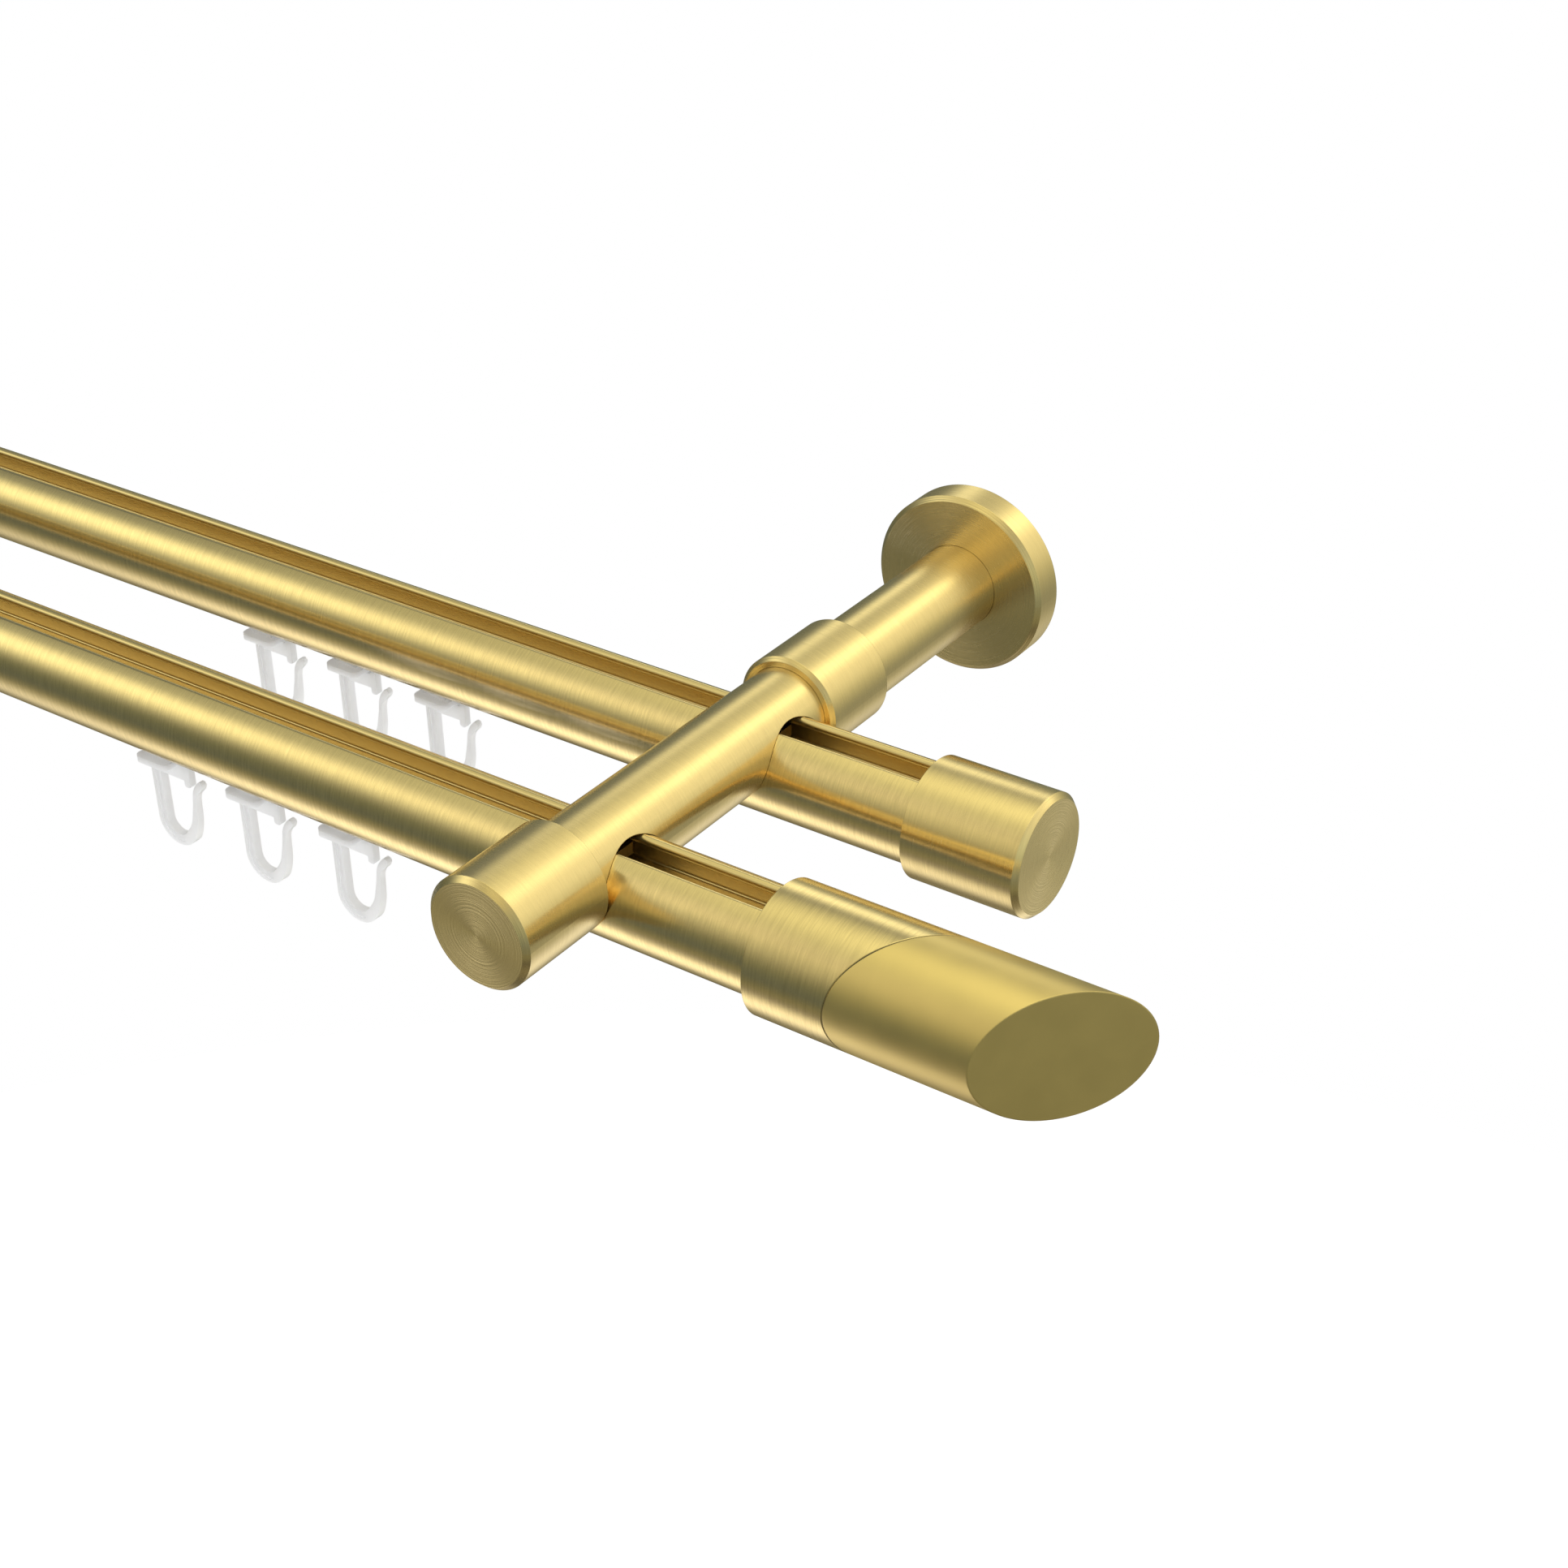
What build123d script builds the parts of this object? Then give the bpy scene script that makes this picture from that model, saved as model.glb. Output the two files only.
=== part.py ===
from build123d import *
import os
from math import cos, radians, sin, sqrt

# A double curtain rod. Two round extruded rails with an inner glider track lie one behind the other on
# two wall brackets. Plain turned caps close the rear rail, and slant-cut finials close the front one.
# X runs along the rails, the wall is the plane y = 0 with the room on -Y, and Z is up. The origin is
# on the wall, midway between the brackets and level with their arms. All sizes are in millimetres.

# The run
bracket_spacing = 900.0
rail_overhang = 50.0  # rail past the axis of each bracket
front_reach = 130.5  # wall to the axis of the front rail
rail_pitch = 49.4  # axis of the front rail to axis of the rear rail

# Rail section
rail_d = 20.0
rail_wall = 1.8
mouth_gap = 5.8  # between the round lips, above and below
bolt_channel_w = 11.8
bolt_channel_floor = 2.5  # above the rail's axis
floor_fillet = 0.6
web = 1.25  # between the bolt channel and the glider channel

# Fits
slip = 0.05  # all round, between pieces that push together
saddle_gap = 0.1  # between a rail and its saddle in the arm
seat_gap = 0.3  # past the end of a piece that goes into a blind bore

# Bracket
arm_d = 18.0
arm_rise = 5.2  # arm axis above the rail axes
spigot_length = 30.0
tube_wall = 2.0
collar_wall = 2.0
collar_length = 18.9
collar_gap = 0.15  # front of the collar to the side of the rear rail
collar_chamfer = 0.8
arm_cap_wall = 2.0
arm_cap_length = 21.8
arm_cap_floor = 3.8
arm_cap_gap = 0.2  # rim of the cap to the side of the front rail
turned_chamfer = 1.0

# Wall fixing
rosette_d = 39.5
rosette_depth = 7.4
rosette_wall = 1.6
plate_gap = 0.15  # all round, between the wall plate and the rosette
plate_thickness = 5.0
boss_length = 12.0
screw_pitch = 26.0  # between the two wall screws, one above the other
screw_hole_d = 4.8
screw_head_d = 8.0  # countersink at the plate's face, 90 degrees

# Fasteners
grub_d = 4.0
grub_socket = 2.0  # across the flats
grub_socket_depth = 1.2
grub_inset = 0.3  # outer end below the surface that it is screwed into
rosette_grub_d = 3.0
rosette_grub_socket = 1.5
bolt_gap = 0.4  # between a bolt's shank and the lips of the rail
bolt_head_length = 11.0
bolt_head_w = 9.2
bolt_head_t = 2.4
bolt_bite = 3.0  # shank in the arm

# End pieces
end_cap_wall = 2.0
end_cap_rim = 40.0  # from the axis of the bracket
end_cap_length = 24.1
finial_wall = 2.5
finial_rim = 40.4  # from the axis of the bracket
finial_seam = 26.7  # rim to the oblique seam, on the axis
finial_tip = 27.6  # seam to the slanted end, on the axis
finial_slant = 40.0  # degrees between the slanted faces and a square cut
finial_spigot_d = 16.0
finial_spigot_seat = 3.7  # end of the rail to the end of the spigot

# Gliders
gliders_per_end = 3
glider_spacing = 25.0
front_glider_inset = 64.3  # from the bracket to the stem of the nearest glider
rear_glider_inset = 84.0
head_gap = 0.2  # between the head and the lips it hangs on
neck_gap = 0.5  # between the neck and the lips, each side
head_length = 11.0
head_w = 9.0
head_t = 1.8
neck_length = 6.0
foot_drop = 1.4  # rail to the top of the foot
foot_length = 8.8
foot_start = 1.6  # end of the foot behind X = 0
foot_w = 9.0
foot_t = 1.4
foot_corner = 1.5
rib_t = 1.6
rib_depth = 3.4  # below the underside of the foot
rib_length = 9.7  # past X = 0
tab_length = 1.6
tab_depth = 1.4  # below the rib
stem_t = 2.4
stem_rear = 1.1  # back of the stem behind X = 0
hook_w = 2.0
hook_r = 5.3  # outside of the bend
hook_depth = 19.9  # underside of the foot to the bottom of the bend
hook_tip_w = 1.2  # width of the hook at its tip
outer_bend_end = 25.0  # degrees below level, where the bend runs out into the swept arm
inner_bend_end = 40.0
groove_w = 0.8  # shallow groove along both sides of stem and bend
groove_depth = 0.35
# The swept arm of the hook in outer bend radii, across and above the centre of the bend
hook_outside = ((1.16, 0.54), (1.20, 1.15), (1.36, 1.69), (1.63, 2.03))
hook_knob = (1.54, 2.25)
hook_inside = ((1.39, 2.17), (1.11, 1.70), (1.03, 1.19), (0.92, 0.63))

rail_r = rail_d / 2
rail_inner_r = rail_r - rail_wall
rail_length = bracket_spacing + 2 * rail_overhang
rear_reach = front_reach - rail_pitch
tube_bore_r = arm_d / 2 - tube_wall
collar_r = arm_d / 2 + collar_wall
collar_reach = rear_reach - rail_r - collar_gap - collar_length / 2  # where tube and arm meet
arm_cap_r = arm_d / 2 + arm_cap_wall
end_cap_r = rail_r + end_cap_wall
finial_r = rail_r + finial_wall


def turned(points, axis):
    """Solid of revolution of a closed outline in the XY plane."""
    return revolve(make_face(Polyline(*points, close=True)), axis)


def turned_from_wall(points):
    """Turned about the arm's axis, from points of radius and distance from the wall."""
    return turned([(radius, -reach) for radius, reach in points], Axis.Y)


def turned_on_rail(points, reach):
    """Turned about a rail's axis, from points of X and radius."""
    return Pos(0, -reach, -arm_rise) * turned(points, Axis.X)


def lip_nose():
    """Place of the round nose of a lip: half its own width, then Y and Z of its centre."""
    radius = rail_wall / 2
    y = mouth_gap / 2 + radius
    z = sqrt((rail_r - radius) ** 2 - y**2)
    return radius, y, z


def rail_section():
    """Round tube with a bolt channel above, a glider channel below and full round lips at both mouths."""
    nose_r, nose_y, nose_z = lip_nose()
    floor = Pos(0, bolt_channel_floor + rail_r) * Rectangle(bolt_channel_w, rail_d)
    bolt_channel = Circle(rail_inner_r) & floor
    floor_corners = bolt_channel.vertices().group_by(Axis.Y)[0]
    bolt_channel = fillet(floor_corners, floor_fillet)
    ceiling = bolt_channel_floor - web
    glider_channel = Circle(rail_inner_r) & (Pos(0, ceiling - rail_d) * Rectangle(2 * rail_d, 2 * rail_d))
    section = Circle(rail_r) - bolt_channel - glider_channel
    near = rail_inner_r / (rail_r - nose_r)
    far = 2
    for up in (1, -1):
        corners = [(-near, near), (near, near), (far, far), (-far, far)]
        wedge = [(nose_y * across, up * nose_z * along) for across, along in corners]
        section -= Polygon(*wedge, align=None)
    for up in (1, -1):
        for side in (1, -1):
            section += Pos(side * nose_y, up * nose_z) * Circle(nose_r)
    return section


def rail(reach):
    """One rail, from end to end of the run."""
    bar = extrude(Plane.YZ.offset(-rail_length / 2) * rail_section(), rail_length)
    return Pos(0, -reach, -arm_rise) * bar


def wall_plate():
    """Steel disc with two countersunk holes and the boss that carries the stand-off tube."""
    boss_r = tube_bore_r - slip
    end = plate_thickness + boss_length
    plate_r = rosette_d / 2 - rosette_wall - plate_gap
    plate = turned_from_wall(
        [
            (0, 0),
            (plate_r, 0),
            (plate_r, plate_thickness),
            (boss_r, plate_thickness),
            (boss_r, end - turned_chamfer),
            (boss_r - turned_chamfer, end),
            (0, end),
        ]
    )
    sink = (screw_head_d - screw_hole_d) / 2
    face = plate_thickness
    hole = turned_from_wall(
        [
            (0, -1),
            (screw_hole_d / 2, -1),
            (screw_hole_d / 2, face - sink),
            (screw_head_d / 2, face),
            (screw_head_d / 2, face + 1),
            (0, face + 1),
        ]
    )
    for side in (1, -1):
        plate -= Pos(0, 0, side * screw_pitch / 2) * hole
    return plate


def rosette():
    """Cup that covers the wall plate, with a chamfered front edge and a hole for the tube."""
    r = rosette_d / 2
    hole_r = arm_d / 2 + slip
    cup = turned_from_wall(
        [
            (r - rosette_wall, 0),
            (r, 0),
            (r, rosette_depth - turned_chamfer),
            (r - turned_chamfer, rosette_depth),
            (hole_r, rosette_depth),
            (hole_r, rosette_depth - rosette_wall),
            (r - rosette_wall, rosette_depth - rosette_wall),
        ]
    )
    return cup - screw_hole(rosette_grub_d, r, plate_thickness / 2)


def stand_off_tube():
    """Tube on the boss of the wall plate, up to the middle of the collar."""
    outer = arm_d / 2
    return turned_from_wall(
        [
            (tube_bore_r, plate_thickness),
            (outer, plate_thickness),
            (outer, collar_reach),
            (tube_bore_r, collar_reach),
        ]
    )


def collar_screw_reaches():
    """Distances from the wall of the screw on the tube and the screw on the arm."""
    return [collar_reach - collar_length / 4, collar_reach + collar_length / 4]


def collar():
    """Sleeve over the joint of tube and arm, chamfered towards the room."""
    r = collar_r
    bore_r = arm_d / 2 + slip
    rear = collar_reach - collar_length / 2
    front = collar_reach + collar_length / 2
    sleeve = turned_from_wall(
        [
            (bore_r, rear),
            (r, rear),
            (r, front - collar_chamfer),
            (r - collar_chamfer, front),
            (bore_r, front),
        ]
    )
    for reach in collar_screw_reaches():
        sleeve -= screw_hole(grub_d, r, reach)
    return sleeve


def arm_cap_rim():
    return front_reach + rail_r + arm_cap_gap


def bracket_arm():
    """Solid rod with a spigot in the tube, and a saddle and a blind bolt hole for each rail."""
    end = arm_cap_rim() + arm_cap_length - arm_cap_floor - seat_gap
    spigot_r = tube_bore_r - slip
    start = collar_reach - spigot_length
    arm = turned_from_wall(
        [
            (0, start),
            (spigot_r - turned_chamfer, start),
            (spigot_r, start + turned_chamfer),
            (spigot_r, collar_reach + slip),
            (arm_d / 2, collar_reach + slip),
            (arm_d / 2, end - turned_chamfer),
            (arm_d / 2 - turned_chamfer, end),
            (0, end),
        ]
    )
    saddle = Plane.YZ.offset(-arm_d) * Circle(rail_r + saddle_gap)
    for reach in (front_reach, rear_reach):
        arm -= Pos(0, -reach, -arm_rise) * extrude(saddle, 2 * arm_d)
        hole = Plane.XY.offset(rail_r - bolt_bite) * Circle(bolt_shank_r() + slip)
        arm -= Pos(0, -reach, -arm_rise) * extrude(hole, saddle_gap + 2 * bolt_bite + slip)
    return arm


def arm_cap():
    """Turned cap that pushes over the front end of the arm."""
    r = arm_cap_r
    bore_r = arm_d / 2 + slip
    rim = arm_cap_rim()
    face = rim + arm_cap_length
    return turned_from_wall(
        [
            (bore_r, rim),
            (r, rim),
            (r, face - turned_chamfer),
            (r - turned_chamfer, face),
            (0, face),
            (0, face - arm_cap_floor),
            (bore_r, face - arm_cap_floor),
        ]
    )


def bolt_shank_r():
    return mouth_gap / 2 - bolt_gap


def rail_bolt(reach):
    """Bolt whose T-head lies in the rail's top channel, with its shank up in the arm."""
    top = sqrt(rail_inner_r**2 - (bolt_head_w / 2) ** 2) - slip
    head = Pos(0, 0, top - bolt_head_t / 2) * Box(bolt_head_length, bolt_head_w, bolt_head_t)
    head = fillet(head.edges().filter_by(Axis.Z), turned_chamfer)
    shank = Plane.XY.offset(top - bolt_head_t / 2) * Circle(bolt_shank_r())
    length = rail_r + saddle_gap + bolt_bite - top + bolt_head_t / 2
    return Pos(0, -reach, -arm_rise) * (head + extrude(shank, length))


def screw_hole(diameter, surface_r, reach):
    """Radial hole for a set screw, from below, through a wall whose outside has the radius given."""
    hole = Plane.XY.offset(-surface_r - 1) * Circle(diameter / 2 + slip)
    return Pos(0, -reach, 0) * extrude(hole, surface_r / 2)


def grub_screw(diameter, socket, length):
    """Set screw with a hexagon socket: flat point on the XY plane, socket end at -Z."""
    body = extrude(Circle(diameter / 2), -length)
    hexagon = RegularPolygon(socket / 2, 6, major_radius=False)
    recess = extrude(Plane.XY.offset(-length) * hexagon, grub_socket_depth)
    return body - recess


def rosette_screw():
    """Set screw from below, through the rim of the rosette and against the wall plate."""
    point = rosette_d / 2 - rosette_wall - plate_gap + slip
    length = rosette_d / 2 - grub_inset - point
    return Pos(0, -plate_thickness / 2, -point) * grub_screw(rosette_grub_d, rosette_grub_socket, length)


def collar_screws():
    """The two set screws under the collar, one on the tube and one on the arm."""
    point = arm_d / 2 + slip
    length = collar_r - grub_inset - point
    screw = grub_screw(grub_d, grub_socket, length)
    return [Pos(0, -reach, -point) * screw for reach in collar_screw_reaches()]


def end_screw_x(rim):
    """X of the set screw between the rim of an end piece and the end of the rail."""
    return bracket_spacing / 2 + (rim + rail_overhang) / 2


def end_screw(rim, outer_r, reach):
    """Set screw on the wall side of an end piece, against the rail."""
    point = rail_r + slip
    length = outer_r - grub_inset - point
    screw = Rot(90, 0, 0) * grub_screw(grub_d, grub_socket, length)
    return Pos(end_screw_x(rim), point - reach, -arm_rise) * screw


def end_screw_hole(rim, outer_r, reach):
    """Hole for the set screw in the wall side of an end piece."""
    hole = Plane.XZ.offset(-2 * outer_r) * Circle(grub_d / 2 + slip)
    return Pos(end_screw_x(rim), -reach, -arm_rise) * extrude(hole, 2 * outer_r - rail_r / 2)


def end_cap():
    """Turned cap on the end of the rear rail."""
    r = end_cap_r
    bore_r = rail_r + slip
    rim = bracket_spacing / 2 + end_cap_rim
    face = rim + end_cap_length
    seat = bracket_spacing / 2 + rail_overhang + seat_gap
    cap = turned_on_rail(
        [
            (rim, bore_r),
            (rim, r),
            (face - turned_chamfer, r),
            (face, r - turned_chamfer),
            (face, 0),
            (seat, 0),
            (seat, bore_r),
        ],
        rear_reach,
    )
    return cap - end_screw_hole(end_cap_rim, end_cap_r, rear_reach)


def slanted_block(x):
    """Everything on the rail's side of a slanted plane that crosses the front rail's axis at X."""
    size = 8 * finial_r + finial_tip
    block = Pos(-size / 2, 0, 0) * Box(size, 2 * size, size)
    return Pos(x, -front_reach, -arm_rise) * (Rot(0, 0, -finial_slant) * block)


def finial_seam_x():
    return bracket_spacing / 2 + finial_rim + finial_seam


def finial_base():
    """Sleeve on the end of the front rail, cut off by the oblique seam."""
    r = finial_r
    rim = bracket_spacing / 2 + finial_rim
    seat = bracket_spacing / 2 + rail_overhang + seat_gap
    far = finial_seam_x() + 2 * r
    socket_r = finial_spigot_d / 2 + slip
    sleeve = turned_on_rail(
        [
            (rim, rail_r + slip),
            (rim, r),
            (far, r),
            (far, socket_r),
            (seat, socket_r),
            (seat, rail_r + slip),
        ],
        front_reach,
    )
    sleeve = sleeve & slanted_block(finial_seam_x())
    return sleeve - end_screw_hole(finial_rim, finial_r, front_reach)


def finial_rod(start, radius, end):
    """Plain rod on the front rail's axis, cut off by a slanted plane that crosses the axis at the end."""
    far = end + 2 * finial_r
    rod = turned_on_rail([(start, 0), (start, radius), (far, radius), (far, 0)], front_reach)
    return rod & slanted_block(end)


def finial_tip_piece():
    """Solid tip between the two slanted faces, with the spigot that goes into the base."""
    seam = finial_seam_x()
    start = bracket_spacing / 2 + rail_overhang
    tip = finial_rod(start, finial_r, seam + finial_tip) - slanted_block(seam)
    return tip + finial_rod(start + finial_spigot_seat, finial_spigot_d / 2, seam + slip)


def foot_underside():
    return -rail_r - foot_drop - foot_t


def bend_centre():
    return hook_r - stem_rear, foot_underside() - hook_depth + hook_r


def hook_outline():
    """Side view of the hook: straight stem, round bend, and a swept arm with a rounded, turned-out tip."""
    top = foot_underside() + foot_t / 2
    centre_x, centre_z = bend_centre()
    inner_r = hook_r - stem_t

    def on_bend(angle, radius):
        return (centre_x + radius * cos(radians(angle)), centre_z + radius * sin(radians(angle)))

    def on_arm(place):
        return (centre_x + place[0] * hook_r, centre_z + place[1] * hook_r)

    def along_bend(angle):
        return (sin(radians(angle)), cos(radians(angle)))

    outer_end = on_bend(-outer_bend_end, hook_r)
    inner_end = on_bend(-inner_bend_end, inner_r)
    outside = [outer_end] + [on_arm(place) for place in hook_outside]
    inside = [on_arm(place) for place in hook_inside] + [inner_end]
    return make_face(
        [
            Line((-stem_rear, top), on_bend(180, hook_r)),
            ThreePointArc(on_bend(180, hook_r), on_bend(270 - outer_bend_end / 2, hook_r), outer_end),
            Spline(outside, tangents=[along_bend(outer_bend_end), (0.3, 1)]),
            ThreePointArc(outside[-1], on_arm(hook_knob), inside[0]),
            Spline(inside, tangents=[(-1, -1), along_bend(inner_bend_end + 180)]),
            ThreePointArc(inner_end, on_bend(270 - inner_bend_end / 2, inner_r), on_bend(180, inner_r)),
            Line(on_bend(180, inner_r), (stem_t - stem_rear, top)),
            Line((stem_t - stem_rear, top), (-stem_rear, top)),
        ]
    )


def hook_groove():
    """Outline of the groove in the sides of the hook, down the stem and round the bottom of the bend."""
    centre_x, centre_z = bend_centre()
    outer_r = hook_r - (stem_t - groove_w) / 2
    inner_r = outer_r - groove_w
    top = foot_underside()
    ring = Circle(outer_r) - Circle(inner_r)
    bend = ring & (Pos(-0.75 * hook_r, -hook_r) * Rectangle(2 * hook_r, 2 * hook_r))
    height = top - centre_z
    stem = Pos(-(outer_r + inner_r) / 2, height / 2) * Rectangle(groove_w, height)
    return Pos(centre_x, centre_z) * (bend + stem)


def hook():
    """The hook, grooved along its sides and thinned towards its tip."""
    bar = extrude(Plane.XZ * hook_outline(), hook_w / 2, both=True)
    top = foot_underside()
    low = top - hook_depth
    bend = low + hook_r / 2
    tip_half = hook_tip_w / 2
    half = hook_w / 2
    flank = [(half, low - 1), (half, bend), (tip_half, top)]
    flanks = flank + [(-y, z) for y, z in reversed(flank)]
    arm_room = extrude(Plane.YZ.offset(hook_r) * make_face(Polyline(*flanks, close=True)), 3 * hook_r)
    stem_room = Pos(-hook_r, 0, low) * Box(4 * hook_r, 2 * hook_w, 4 * hook_depth)
    bar = bar & (arm_room + stem_room)
    for side in (1, -1):
        groove = Plane.XZ.offset(side * (hook_w / 2 - groove_depth)) * hook_groove()
        bar -= extrude(groove, side * hook_w)
    return bar


def glider():
    """Moulded glider with its stem at X = 0 and the rail's axis at Y = Z = 0; the hook opens towards +X."""
    low = foot_underside()
    middle = foot_length / 2 - foot_start
    foot = Pos(middle, 0, low + foot_t / 2) * Box(foot_length, foot_w, foot_t)
    foot = fillet(foot.edges().filter_by(Axis.Z), foot_corner)
    rib = Pos(rib_length / 2, 0, low - rib_depth / 2) * Box(rib_length, rib_t, rib_depth)
    stub_height = foot_t / 2 + rib_depth + tab_depth
    stub = Pos(rib_length - tab_length / 2, 0, low + foot_t / 2 - stub_height / 2)
    tab = stub * Box(tab_length, rib_t, stub_height)
    tab = fillet(tab.edges().filter_by(Axis.Y).group_by(Axis.Z)[0], tab_length / 3)
    head_low = -sqrt(rail_inner_r**2 - (head_w / 2) ** 2) + head_gap
    neck_height = head_low + head_t / 2 - low - foot_t / 2
    neck = Box(neck_length, mouth_gap - 2 * neck_gap, neck_height)
    neck = Pos(middle, 0, low + foot_t / 2 + neck_height / 2) * neck
    head = Pos(middle, 0, head_low + head_t / 2) * Box(head_length, head_w, head_t)
    head = chamfer(head.edges().filter_by(Axis.Z), head_w / 4)
    return hook() + foot + rib + tab + neck + head


os.makedirs("parts", exist_ok=True)


def save(name, *solids):
    """Write one node, as one solid or as a group of separate like solids."""
    export_step(solids[0] if len(solids) == 1 else Compound(children=list(solids)), f"parts/{name}.step")


def mirrored(piece):
    """The same piece at the other end of the run."""
    return mirror(piece, about=Plane.YZ)


save("front_rail", rail(front_reach))
save("rear_rail", rail(rear_reach))

bracket_pieces = {
    "wall_plate": [wall_plate()],
    "rosette": [rosette()],
    "rosette_screw": [rosette_screw()],
    "stand_off_tube": [stand_off_tube()],
    "collar": [collar()],
    "collar_screws": collar_screws(),
    "arm": [bracket_arm()],
    "arm_cap": [arm_cap()],
    "front_rail_bolt": [rail_bolt(front_reach)],
    "rear_rail_bolt": [rail_bolt(rear_reach)],
}
for name, pieces in bracket_pieces.items():
    to_bracket = Pos(bracket_spacing / 2, 0, 0)
    save(f"right_{name}", *[to_bracket * piece for piece in pieces])
    save(f"left_{name}", *[mirrored(to_bracket * piece) for piece in pieces])

end_pieces = {
    "end_cap": end_cap(),
    "end_cap_screw": end_screw(end_cap_rim, end_cap_r, rear_reach),
    "finial_base": finial_base(),
    "finial_tip": finial_tip_piece(),
    "finial_screw": end_screw(finial_rim, finial_r, front_reach),
}
for name, piece in end_pieces.items():
    save(f"right_{name}", piece)
    save(f"left_{name}", mirrored(piece))

one_glider = glider()
for rail_name, reach, inset in (
    ("front", front_reach, front_glider_inset),
    ("rear", rear_reach, rear_glider_inset),
):
    for number in range(gliders_per_end):
        x = bracket_spacing / 2 - inset - number * glider_spacing
        placed = Pos(x, -reach, -arm_rise) * one_glider
        save(f"right_{rail_name}_glider_{number + 1}", placed)
        save(f"left_{rail_name}_glider_{number + 1}", mirrored(placed))
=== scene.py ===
from math import cos, pi, radians, sin, tan

import bmesh
import bpy
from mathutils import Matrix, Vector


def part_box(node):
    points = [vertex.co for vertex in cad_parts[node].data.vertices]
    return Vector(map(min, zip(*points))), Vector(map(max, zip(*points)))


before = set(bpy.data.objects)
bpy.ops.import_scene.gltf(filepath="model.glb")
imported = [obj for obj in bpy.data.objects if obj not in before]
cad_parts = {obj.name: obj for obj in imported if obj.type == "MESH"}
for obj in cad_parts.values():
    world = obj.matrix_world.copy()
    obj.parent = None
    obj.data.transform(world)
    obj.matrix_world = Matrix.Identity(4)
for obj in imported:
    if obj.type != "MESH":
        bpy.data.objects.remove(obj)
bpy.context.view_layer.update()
scene = bpy.context.scene

# A double curtain rod in brushed brass on two wall brackets, with milky gliders under both rails.
# X runs along the rails, the wall is the plane y = 0 with the room on -Y, and Z is up. Metres.

MM = 0.001
WHOLE = (0.0, 1.0)

# Camera
CAMERA_PLACE = (0.68966, -0.41401, 0.23995)
CAMERA_TURN = (58.465, 0.591, 34.661)  # degrees about X, Y and Z
CAMERA_NEAR = 0.01
CAMERA_FAR = 50
FOCAL_LENGTH = 57.26  # in millimetres, as the sensor is
SENSOR = 36.0

# Linear colours of the metals and the plastic, the mottled ones from dark to light
BRASS = (0.885, 0.71, 0.41)
TIP_BRASS = (0.845, 0.665, 0.325)
BLACKENED_STEEL = ((0.18, 0.14, 0.08), (0.26, 0.21, 0.12))
ZINC_PLATED_STEEL = ((0.46, 0.46, 0.44), (0.60, 0.61, 0.60))
MILKY_PLASTIC = ((0.90, 0.905, 0.93), (0.93, 0.935, 0.96))

# Brushed brass: its gloss, and with wear how strong its scratches are
RAIL_FINISH = {"roughness": 0.215, "anisotropy": 0.4, "wear": 1.0}
END_CAP_FINISH = {"roughness": 0.25, "anisotropy": 0.85, "wear": 0.7}
BRACKET_FINISH = {"roughness": 0.25, "anisotropy": 0.85, "wear": 0.4}

# Its scratches, as a number per metre and a depth
FINE_SCRATCHES = 5.0 / MM
FINE_DEPTH = 0.005 * MM
COARSE_SCRATCHES = 2.5 / MM
COARSE_DEPTH = 0.007 * MM
RINGS = 2.6 / MM
RING_DEPTH = 0.035 * MM
SCRATCH_CONTRAST = 0.7
SCRATCH_TURN = 2.2  # how much a scratch changes on its way round
END_FACES = (0.3, 0.6)  # share of a face's normal along the axis, from no rings to whole ones

# Shares by which the scratches darken, brighten and roughen the brass
DULLER = 0.11
BRIGHTER = 0.07
ROUGHER = 0.1
NOISE_SPREAD = (0.3, 0.7)  # where most of a noise's values lie

# Inside of the rails' slots, which has no scratches and whose colour is darkened a little as painted
# shade
SKIN = 0.12 * MM  # how deep below a rail's round face it begins
SLOT_SHADE = 0.95
SLOT_ROUGHNESS = 0.31

# The other materials' noises, as a number per metre, with the roughness and the bumps they make
TIP_CLOUDS = 160.0
TIP_GRAIN = 6000.0
TIP_GRAIN_DEPTH = 0.01 * MM
TIP_ROUGHNESS = (0.36, 0.40)
STEEL_MOTTLE = 700.0
STEEL_MOTTLE_DEPTH = 0.02 * MM
STEEL_ROUGHNESS = (0.28, 0.42)
PLASTIC_CLOUDS = 350.0
PLASTIC_CLOUD_DEPTH = 0.02 * MM
PLASTIC_ROUGHNESS = (0.28, 0.36)

# Edges, softened in the shading
BRASS_EDGE = 0.15 * MM
TIP_EDGE = 0.35 * MM
STEEL_EDGE = 0.1 * MM
PLASTIC_EDGE = 0.15 * MM

# Finials
SLANT = radians(40)  # between the seam and a square cut
SEAM_WIDTH = 0.18 * MM  # to each side
SEAM_DEPTH = 0.08 * MM
# Painted shade along the finials' seam: how dark the base's and the tip's colour are painted there, as
# if by the shadow in its gap; the groove itself is a bump
BASE_SEAM_SHADE = 0.4
TIP_SEAM_SHADE = 0.5

# Studio
STUDIO_RADIUS = 4.0
STUDIO_CENTRE = (0, -0.1, 0)
FLOOR_RADIUS = 3.6
FLOOR_CENTRE = (0, 0, -3.0)
FLOOR_COLOUR = (0.9, 0.9, 0.9, 1)
WHITE = (1, 1, 1, 1)

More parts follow.
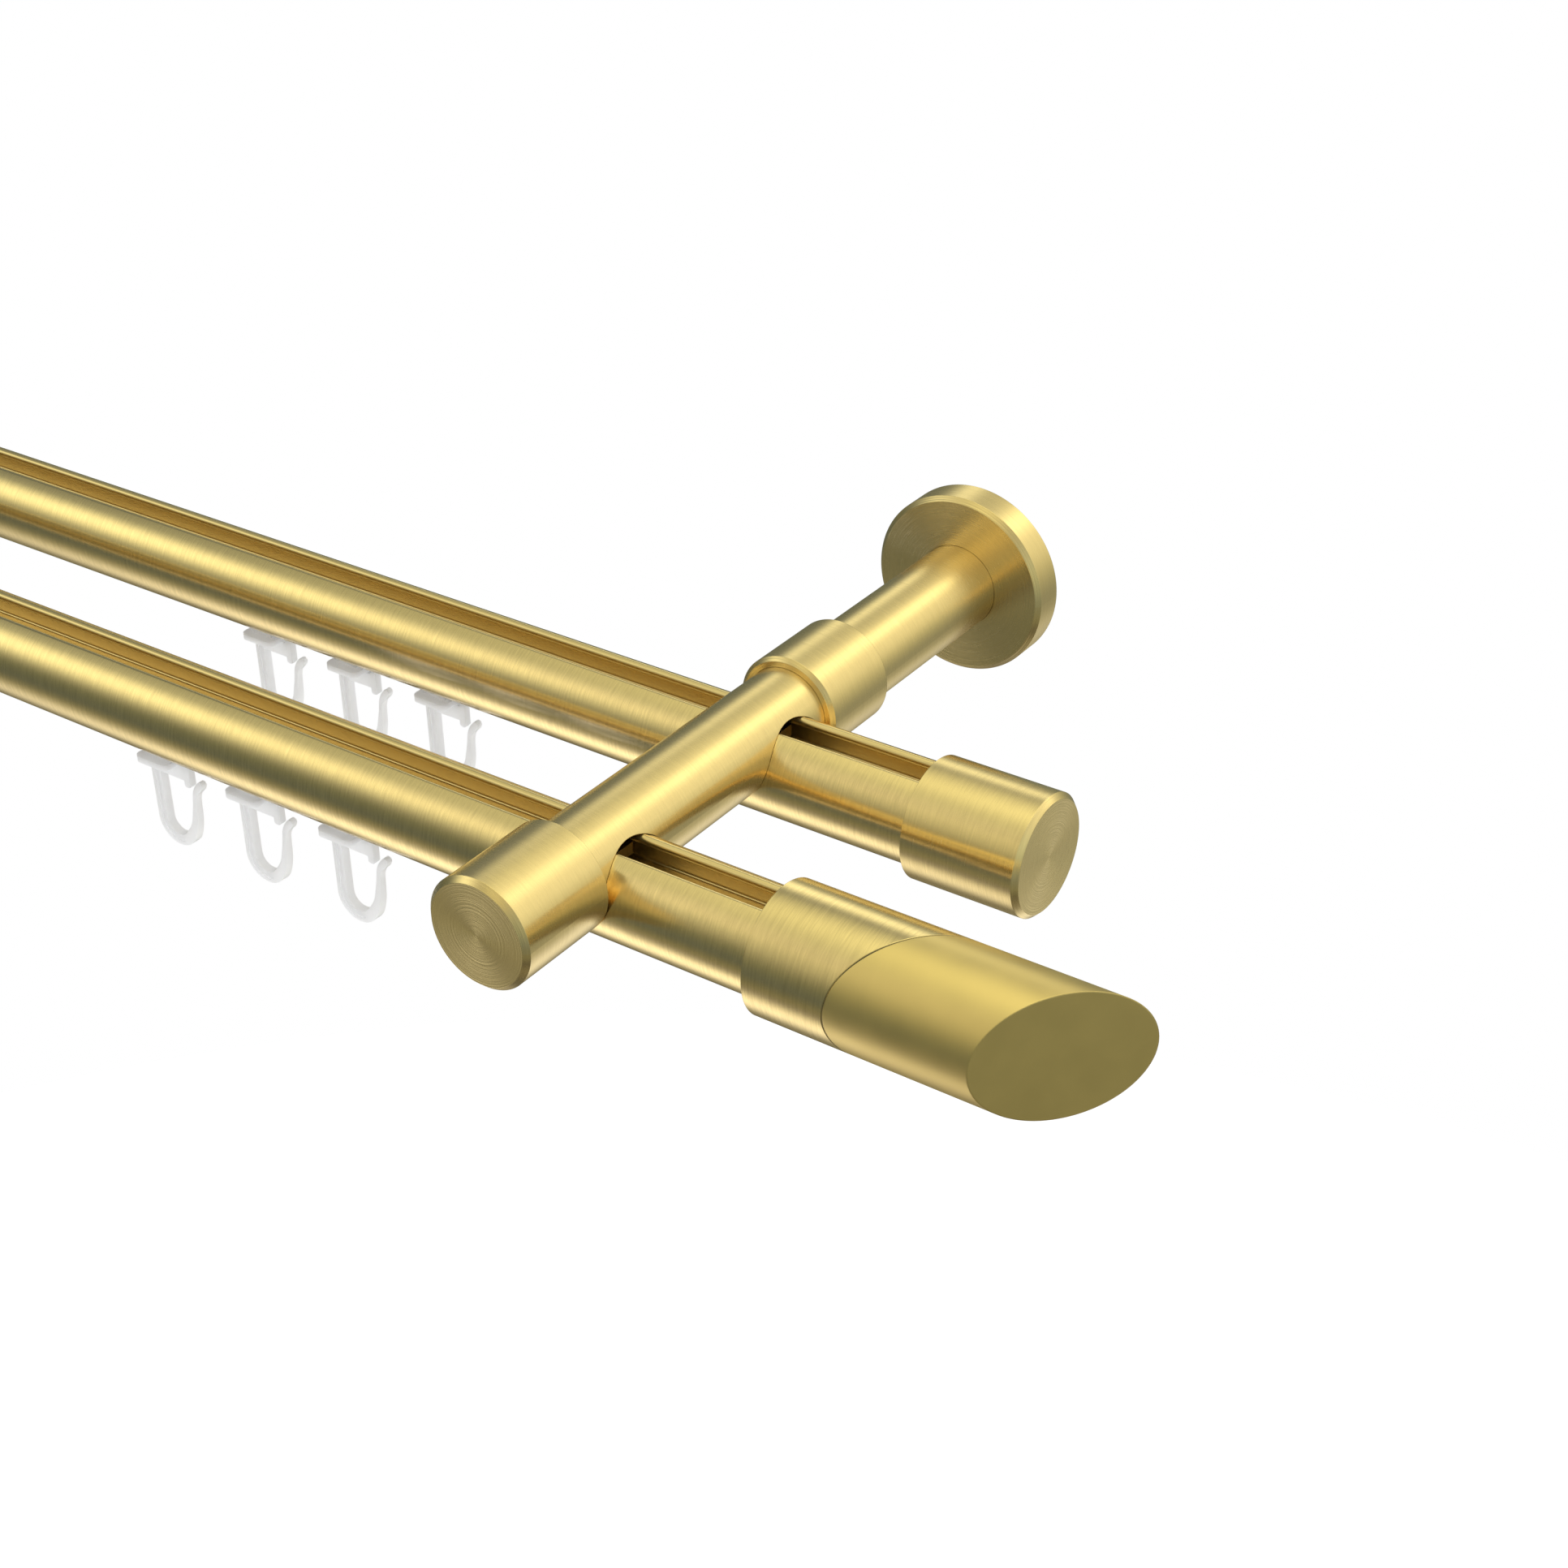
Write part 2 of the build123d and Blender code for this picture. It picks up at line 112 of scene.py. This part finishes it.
# Its soft lights: azimuth and elevation in degrees, how narrow each one is, and its light
SOFT_LIGHTS = {
    "left": (-55, 31, 21, (1.40, 1.36, 0.83)),
    "left_behind": (-154, 27, 60, (1.31, 1.27, 0.82)),
    "front_left": (-38, 42, 40, (0.29, 0.24, 0.14)),
    "right": (73, 8, 9, (0.34, 0.38, 0.27)),
    "right_behind": (130, 42, 3.2, (0.95, 0.89, 0.53)),
    "low_behind": (134, 14, 20, (0.19, 0.17, 0.10)),
    "small_behind": (152, 35, 60, (1.41, 1.36, 0.80)),
    "right_high": (70, 52, 30, (0.30, 0.26, 0.15)),
    "front": (7, 31, 10, (0.67, 0.58, 0.24)),
    "low_left": (-65, -59, 22, (1.48, 1.43, 1.16)),
    "low_right": (147, -55, 20, (1.12, 1.12, 0.98)),
}
# Light of the room by elevation in degrees
ROOM_LIGHT = {
    -90: (0.00, 0.00, 0.00),
    -58: (0.20, 0.18, 0.10),
    -46: (0.10, 0.09, 0.06),
    -36: (0.19, 0.185, 0.10),
    -20: (0.12, 0.14, 0.12),
    0: (0.13, 0.15, 0.11),
    20: (0.17, 0.19, 0.17),
    45: (0.00, 0.03, 0.08),
    90: (1.46, 1.41, 0.76),
}


class Nodes:
    """A material's or world's node tree, with short calls to add and join nodes."""

    def __init__(self, tree):
        self.tree = tree
        self.tree.nodes.clear()

    def put(self, socket, value):
        if isinstance(value, bpy.types.NodeSocket):
            self.tree.links.new(value, socket)
        else:
            socket.default_value = value

    def add(self, kind, inputs=None, **settings):
        node = self.tree.nodes.new(kind)
        for name, value in settings.items():
            setattr(node, name, value)
        for name, value in (inputs or {}).items():
            self.put(node.inputs[name], value)
        return node

    def math(self, operation, *values):
        node = self.add("ShaderNodeMath", operation=operation)
        for socket, value in zip(node.inputs, values):
            self.put(socket, value)
        return node.outputs[0]

    def vector(self, operation, *values, out="Vector"):
        node = self.add("ShaderNodeVectorMath", operation=operation)
        for socket, value in zip(node.inputs, values):
            self.put(socket, value)
        return node.outputs[out]

    def ramp(self, value, source, target):
        """The value taken from one range into another, and held at its ends."""
        inputs = {"Value": value, "From Min": source[0], "From Max": source[1]}
        inputs.update({"To Min": target[0], "To Max": target[1]})
        return self.add("ShaderNodeMapRange", inputs).outputs[0]

    def blend(self, factor, first, second):
        """Mix of two colours."""
        node = self.add("ShaderNodeMix", {"Factor": factor}, data_type="RGBA")
        for socket, colour in zip([s for s in node.inputs if s.type == "RGBA"], (first, second)):
            self.put(socket, colour if isinstance(colour, bpy.types.NodeSocket) else (*colour, 1))
        return [s for s in node.outputs if s.type == "RGBA"][0]

    def noise(self, dimensions, detail, scale=1.0, roughness=0.5, **place):
        """Noise at a place, which is given by its Vector, its W or both."""
        inputs = {"Scale": scale, "Detail": detail, "Roughness": roughness, **place}
        return self.add("ShaderNodeTexNoise", inputs, noise_dimensions=dimensions).outputs["Fac"]

    def object_place(self):
        return self.add("ShaderNodeTexCoord").outputs["Object"]

    def soft_edges(self, radius):
        """The surface's normal, turned round the sharp edges."""
        return self.add("ShaderNodeBevel", {"Radius": radius}, samples=4).outputs[0]

    def bump(self, height, distance, strength, normal):
        inputs = {"Height": height, "Distance": distance, "Strength": strength, "Normal": normal}
        return self.add("ShaderNodeBump", inputs).outputs[0]

    def surface(self, inputs):
        shader = self.add("ShaderNodeBsdfPrincipled", inputs)
        self.add("ShaderNodeOutputMaterial", {"Surface": shader.outputs[0]})


def new_material(name):
    material = bpy.data.materials.new(name)
    material.use_nodes = True
    return material, Nodes(material.node_tree)


def tinted(colour, amount):
    return [min(1, amount * part) for part in colour]


# Brushed brass


class Turned:
    """Where a point lies on a piece turned about an axis, as nodes of the piece's material."""

    def __init__(self, n, axis, centre):
        unit = {"X": (1, 0, 0), "Y": (0, 1, 0)}[axis]
        self.place = n.object_place()
        offset = n.vector("SUBTRACT", self.place, centre)
        radial = n.vector("SUBTRACT", offset, n.vector("PROJECT", offset, unit))
        outward = n.vector("NORMALIZE", radial)
        hoop = n.vector("CROSS_PRODUCT", unit, outward)
        normal = n.add("ShaderNodeNewGeometry").outputs["Normal"]
        turn = n.vector("MULTIPLY", outward, (SCRATCH_TURN, SCRATCH_TURN, SCRATCH_TURN))
        x, y, z = n.add("ShaderNodeSeparateXYZ", {"Vector": turn}).outputs

        self.along = n.vector("DOT_PRODUCT", offset, unit, out="Value")
        self.radius = n.vector("LENGTH", radial, out="Value")
        self.around = (y, z) if axis == "X" else (x, z)
        self.across = n.vector("NORMALIZE", n.vector("CROSS_PRODUCT", normal, hoop))
        self.end_face = n.math("ABSOLUTE", n.vector("DOT_PRODUCT", normal, unit, out="Value"))


def scratches(n, turned, number, detail):
    """Scratches that run round the axis on the sides and the ends."""
    step = n.math("MULTIPLY", turned.along, number)
    vector = {"X": step, "Y": turned.around[0], "Z": turned.around[1]}
    place = {"Vector": n.add("ShaderNodeCombineXYZ", vector).outputs[0]}
    place["W"] = n.math("MULTIPLY", turned.radius, number)
    return n.noise("4D", detail, roughness=SCRATCH_CONTRAST, **place)


def turning_rings(n, turned):
    """Whole rings, as a lathe leaves them on an end face."""
    step = n.math("MULTIPLY", turned.radius, RINGS)
    return n.noise("1D", detail=2.0, roughness=SCRATCH_CONTRAST, W=step)


def away_from_seam(n, place, seam):
    """0 on a finial's oblique seam and 1 just beside it."""
    point, facing = seam
    distance = n.vector("DOT_PRODUCT", n.vector("SUBTRACT", place, point), facing, out="Value")
    return n.ramp(n.math("ABSOLUTE", distance), (0.0, SEAM_WIDTH), WHOLE)


def brushed(name, axis, centre, roughness, anisotropy, wear, inner_radius=None, seam=None):
    """Brass with fine scratches round an axis: hoops on its sides, rings on its ends, none inside."""
    material, n = new_material(name)
    turned = Turned(n, axis, centre)
    fine = scratches(n, turned, FINE_SCRATCHES, detail=1.0)
    coarse = scratches(n, turned, COARSE_SCRATCHES, detail=2.0)
    rings = turning_rings(n, turned)
    dull, bright = tinted(BRASS, 1 - DULLER * wear), tinted(BRASS, 1 + BRIGHTER * wear)
    colour = n.blend(n.ramp(coarse, NOISE_SPREAD, WHOLE), dull, bright)
    rough = n.ramp(fine, NOISE_SPREAD, (roughness * (1 - ROUGHER), roughness * (1 + ROUGHER)))
    depth = 1.0
    edge = BRASS_EDGE
    if inner_radius:
        outside = n.math("GREATER_THAN", turned.radius, inner_radius)
        depth = outside
        edge = n.math("MULTIPLY", outside, edge)
        # Painted shade: the slot's inside darkened a little, besides its rougher plain finish
        colour = n.blend(outside, tinted(BRASS, SLOT_SHADE), colour)
        rough = n.ramp(outside, WHOLE, (SLOT_ROUGHNESS, rough))
    shape = n.soft_edges(edge)
    if seam:
        beside = away_from_seam(n, turned.place, seam)
        # Painted shade: the brass darkened along the seam, as if by the shadow in its gap
        colour = n.blend(beside, tinted(BRASS, BASE_SEAM_SHADE), colour)
        shape = n.bump(beside, SEAM_DEPTH, 1.0, shape)
    shape = n.bump(rings, RING_DEPTH, n.ramp(turned.end_face, END_FACES, WHOLE), shape)
    shape = n.bump(coarse, COARSE_DEPTH * wear, depth, shape)
    shape = n.bump(fine, FINE_DEPTH * wear, depth, shape)
    n.surface(
        {
            "Base Color": colour,
            "Metallic": 1.0,
            "Roughness": rough,
            "Anisotropic": anisotropy,
            "Tangent": turned.across,
            "Normal": shape,
        }
    )
    return material


# The other materials


def satin(name, seam):
    """Fine blasted brass with a faint cloudiness."""
    material, n = new_material(name)
    place = n.object_place()
    cloud = n.noise("3D", detail=3.0, scale=TIP_CLOUDS, Vector=place)
    grain = n.noise("3D", detail=2.0, scale=TIP_GRAIN, Vector=place)
    beside = away_from_seam(n, place, seam)
    tint = n.ramp(cloud, source=(0.35, 0.65), target=WHOLE)
    colour = n.blend(tint, tinted(TIP_BRASS, 0.98), tinted(TIP_BRASS, 1.02))
    shape = n.bump(beside, SEAM_DEPTH, 1.0, n.soft_edges(TIP_EDGE))
    n.surface(
        {
            # Painted shade: the tip's colour darkened along the seam, as if by the shadow in its gap
            "Base Color": n.blend(beside, tinted(TIP_BRASS, TIP_SEAM_SHADE), colour),
            "Metallic": 1.0,
            "Roughness": n.ramp(cloud, NOISE_SPREAD, TIP_ROUGHNESS),
            "Normal": n.bump(grain, TIP_GRAIN_DEPTH, strength=0.3, normal=shape),
        }
    )
    return material


def steel(name, dark, light):
    """Plated steel with a faint mottle."""
    material, n = new_material(name)
    mottle = n.noise("3D", detail=4.0, scale=STEEL_MOTTLE, Vector=n.object_place())
    shape = n.soft_edges(STEEL_EDGE)
    n.surface(
        {
            "Base Color": n.blend(n.ramp(mottle, source=(0.35, 0.7), target=WHOLE), dark, light),
            "Metallic": 1.0,
            "Roughness": n.ramp(mottle, NOISE_SPREAD, STEEL_ROUGHNESS),
            "Normal": n.bump(mottle, STEEL_MOTTLE_DEPTH, strength=0.2, normal=shape),
        }
    )
    return material


def milky_plastic(name):
    """Thin moulded plastic that lets some light through."""
    material, n = new_material(name)
    cloud = n.noise("3D", detail=3.0, scale=PLASTIC_CLOUDS, Vector=n.object_place())
    shape = n.soft_edges(PLASTIC_EDGE)
    n.surface(
        {
            "Base Color": n.blend(n.ramp(cloud, NOISE_SPREAD, WHOLE), *MILKY_PLASTIC),
            "Roughness": n.ramp(cloud, NOISE_SPREAD, PLASTIC_ROUGHNESS),
            "IOR": 1.46,
            "Transmission Weight": 0.15,
            "Subsurface Weight": 1.0,
            "Subsurface Radius": (1.0, 1.0, 1.0),
            "Subsurface Scale": 4 * MM,
            "Normal": n.bump(cloud, PLASTIC_CLOUD_DEPTH, strength=0.2, normal=shape),
        }
    )
    return material


# Camera, studio and floor


def add_camera():
    data = bpy.data.cameras.new("camera")
    data.lens = FOCAL_LENGTH
    data.sensor_width = SENSOR
    data.clip_start = CAMERA_NEAR
    data.clip_end = CAMERA_FAR
    camera = bpy.data.objects.new("camera", data)
    camera.location = CAMERA_PLACE
    camera.rotation_euler = [radians(a) for a in CAMERA_TURN]
    scene.collection.objects.link(camera)
    scene.camera = camera


def new_object(name, place, form, **sizes):
    """Object with the mesh that one of bmesh's operators makes."""
    mesh = bpy.data.meshes.new(name)
    draft = bmesh.new()
    form(draft, **sizes)
    draft.to_mesh(mesh)
    draft.free()
    obj = bpy.data.objects.new(name, mesh)
    obj.location = place
    scene.collection.objects.link(obj)
    return obj


def direction(azimuth, elevation):
    """Unit vector from degrees: azimuth 0 faces the room (-Y) and 90 faces +X."""
    a, e = radians(azimuth), radians(elevation)
    return (sin(a) * cos(e), -cos(a) * cos(e), sin(e))


def room_light(n, towards):
    """The room's light in a direction, which depends on its elevation alone."""
    height = n.vector("DOT_PRODUCT", towards, (0, 0, 1), out="Value")
    elevation = n.ramp(n.math("ARCSINE", height), source=(-pi / 2, pi / 2), target=WHOLE)
    room = n.add("ShaderNodeValToRGB", {"Fac": elevation})
    stops = room.color_ramp.elements
    while len(stops) < len(ROOM_LIGHT):
        stops.new(0.5)
    for stop, (degrees, light) in zip(stops, ROOM_LIGHT.items()):
        stop.position = (degrees + 90) / 180
        stop.color = (*light, 1)
    return room.outputs[0]


def add_studio():
    """A closed shell round the object that shows in its gloss. The camera looks through it."""
    sphere = bmesh.ops.create_icosphere
    studio = new_object("studio", STUDIO_CENTRE, sphere, subdivisions=3, radius=STUDIO_RADIUS)
    material, n = new_material("studio_light")
    towards = n.vector("NORMALIZE", n.object_place())
    total = room_light(n, towards)
    for azimuth, elevation, narrowness, light in SOFT_LIGHTS.values():
        facing = n.vector("DOT_PRODUCT", towards, direction(azimuth, elevation), out="Value")
        fall = n.math("MULTIPLY", n.math("SUBTRACT", facing, 1.0), narrowness)
        total = n.vector("ADD", total, n.vector("MULTIPLY", n.math("EXPONENT", fall), light))
    emission = n.add("ShaderNodeEmission", {"Color": total, "Strength": 1.0})
    n.add("ShaderNodeOutputMaterial", {"Surface": emission.outputs[0]})
    material.cycles.emission_sampling = "NONE"
    studio.data.materials.append(material)
    studio.visible_camera = False
    studio.visible_diffuse = False
    studio.visible_transmission = False


def add_floor():
    """Plain pale floor below the rod."""
    disc = bmesh.ops.create_circle
    floor = new_object("floor", FLOOR_CENTRE, disc, cap_ends=True, segments=128, radius=FLOOR_RADIUS)
    material, n = new_material("pale_floor")
    n.surface(
        {
            "Base Color": FLOOR_COLOUR,
            "Roughness": 0.9,
            "Emission Color": WHITE,
            "Emission Strength": 0.2,
        }
    )
    floor.data.materials.append(material)
    floor.visible_glossy = False


def add_world():
    world = bpy.data.worlds.new("world")
    world.use_nodes = True
    n = Nodes(world.node_tree)
    background = n.add("ShaderNodeBackground", {"Color": WHITE, "Strength": 1.0})
    n.add("ShaderNodeOutputWorld", {"Surface": background.outputs[0]})
    world.cycles.sampling_method = "NONE"
    scene.world = world
    scene.view_settings.view_transform = "Standard"


add_camera()
add_studio()
add_floor()
add_world()

# Materials of the CAD pieces


def middle(node):
    low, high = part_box(node)
    return (low + high) / 2


def finial_seam(side):
    """Point and direction of the seam's plane, from the outermost point of the finial's base."""
    low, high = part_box(f"{side}_finial_base")
    axis = (low + high) / 2
    reach = (high.y - low.y) / 2 * tan(SLANT)
    if side == "right":
        return (high.x - reach, axis.y, axis.z), (cos(SLANT), -sin(SLANT), 0)
    return (low.x + reach, axis.y, axis.z), (-cos(SLANT), -sin(SLANT), 0)


rail_low, rail_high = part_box("front_rail")
rail_inside = (rail_high.y - rail_low.y) / 2 - SKIN
front_axis = middle("right_finial_base")
rear_axis = middle("right_end_cap")

materials = {
    "front_rail": brushed("brass_front_rail", "X", front_axis, **RAIL_FINISH, inner_radius=rail_inside),
    "rear_rail": brushed("brass_rear_rail", "X", rear_axis, **RAIL_FINISH, inner_radius=rail_inside),
    "end_cap": brushed("brass_end_cap", "X", rear_axis, **END_CAP_FINISH),
    "bolt": steel("blackened_steel", *BLACKENED_STEEL),
    "screw": steel("zinc_plated_steel", *ZINC_PLATED_STEEL),
    "glider": milky_plastic("milky_plastic"),
}
for side in ("left", "right"):
    bracket = f"{side}_bracket"
    base, tip = f"{side}_finial_base", f"{side}_finial_tip"
    seam = finial_seam(side)
    materials[bracket] = brushed(f"brass_{bracket}", "Y", middle(f"{side}_rosette"), **BRACKET_FINISH)
    materials[base] = brushed(f"brass_{base}", "X", front_axis, **RAIL_FINISH, seam=seam)
    materials[tip] = satin(f"brass_{tip}", seam)


def material_for(node):
    side, _, piece = node.partition("_")
    if node in materials:
        return materials[node]
    if "glider" in piece:
        return materials["glider"]
    if "bolt" in piece:
        return materials["bolt"]
    if "screw" in piece or piece == "wall_plate":
        return materials["screw"]
    return materials.get(piece, materials[f"{side}_bracket"])


for name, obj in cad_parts.items():
    obj.data.materials.clear()
    obj.data.materials.append(material_for(name))
